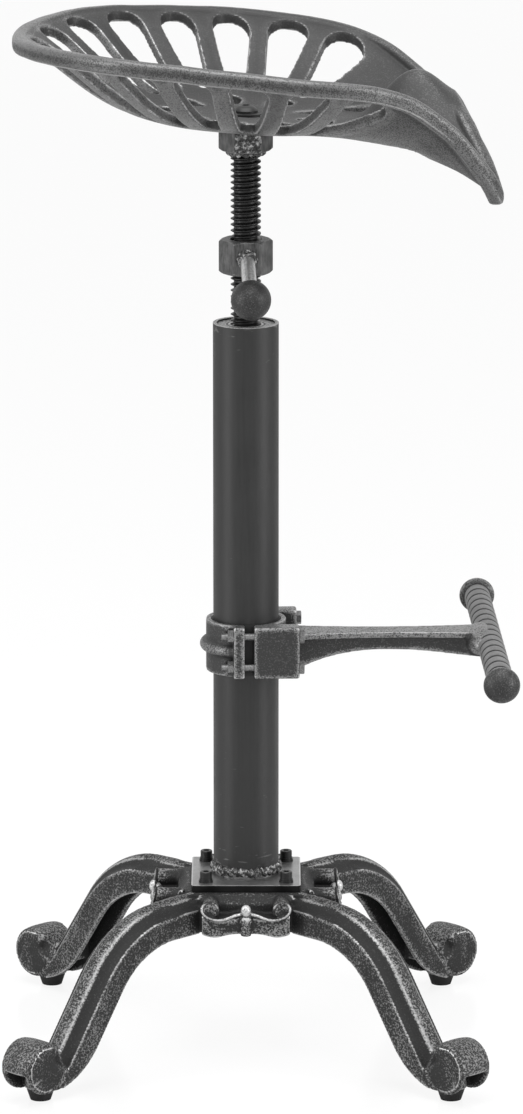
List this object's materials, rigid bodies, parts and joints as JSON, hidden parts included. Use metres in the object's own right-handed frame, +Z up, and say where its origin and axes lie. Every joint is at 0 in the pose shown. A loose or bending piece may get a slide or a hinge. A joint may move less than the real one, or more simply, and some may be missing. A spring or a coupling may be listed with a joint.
{
  "type": "tractor seat stool",
  "caption": "Adjustable stool: pierced tractor seat on a threaded rod, tube column, clamped T footrest, cast four-leg scroll base.",
  "frame": {"origin": "on the floor, on the column's axis", "axes": "+Z up along the column, +X towards the footrest and the front of the seat, legs on the diagonals"},
  "size_m": [0.4244, 0.4026, 0.858],
  "materials": {
    "cast_iron": "dark gunmetal hammered casting with worn edges",
    "tube_paint": "smooth satin dark grey",
    "black_steel": "black oxide",
    "weld_steel": "rough weld metal",
    "bare_steel": "bare drawn steel",
    "flange_steel": "dark grey plate with black edges",
    "rubber": "black rubber",
    "nylon": "white nylon"
  },
  "bodies": {
    "base": {"base_casting": "cast_iron", "foot_pad_1": "rubber", "foot_pad_2": "rubber", "foot_pad_3": "rubber", "foot_pad_4": "rubber", "foot_pad_screws": "black_steel", "column_flange": "flange_steel", "flange_weld": "weld_steel", "column_tube": "tube_paint", "column_head_nut": "weld_steel", "flange_screws": "black_steel", "flange_spring_washers": "black_steel", "flange_washers": "black_steel", "flange_nuts": "black_steel"},
    "liner": {"clamp_liner": "rubber"},
    "footrest": {"footrest_arm": "cast_iron", "clamp_rear": "cast_iron", "clamp_bolts": "black_steel", "clamp_nuts": "black_steel", "footrest_bar": "cast_iron", "bar_cap_near": "cast_iron", "bar_cap_far": "cast_iron"},
    "rod_stop": {"rod_stop_washer": "black_steel"},
    "seat": {"rod_end_screw": "black_steel", "threaded_rod": "black_steel", "hub_weld": "weld_steel", "seat_hub_nut": "cast_iron", "seat_casting": "cast_iron", "seat_bolt_washer": "black_steel", "seat_bolt": "black_steel"},
    "grip": {"lock_grip_ring": "nylon"},
    "lock": {"lock_nut": "cast_iron", "handle_weld": "weld_steel", "handle_rod": "bare_steel", "lock_ball": "cast_iron"}
  },
  "joints": [
    {"name": "seat_height", "type": "slide", "parent": "base", "child": "rod_stop", "axis": [0, 0, 1], "range_m": [-0.06, 0.1]},
    {"name": "seat_turn", "type": "hinge", "parent": "rod_stop", "child": "seat", "pos_m": [0, 0, 0], "axis": [0, 0, 1], "range_deg": [-4320, 7200]},
    {"name": "lock_nut_height", "type": "slide", "parent": "base", "child": "grip", "axis": [0, 0, 1], "range_m": [-0.04, 0.005]},
    {"name": "lock_nut_turn", "type": "hinge", "parent": "grip", "child": "lock", "pos_m": [0, 0, 0], "axis": [0, 0, 1], "range_deg": [-2880, 360]},
    {"name": "footrest_height", "type": "slide", "parent": "base", "child": "liner", "axis": [0, 0, 1], "range_m": [-0.14, 0.2]},
    {"name": "footrest_swing", "type": "hinge", "parent": "liner", "child": "footrest", "pos_m": [0, 0, 0], "axis": [0, 0, 1], "continuous": true}
  ],
  "couplings": [
    {"joint": "seat_height", "follows": "seat_turn", "m_per_rad": 0.00079577},
    {"joint": "lock_nut_height", "follows": "lock_nut_turn", "m_per_rad": 0.00079577}
  ]
}
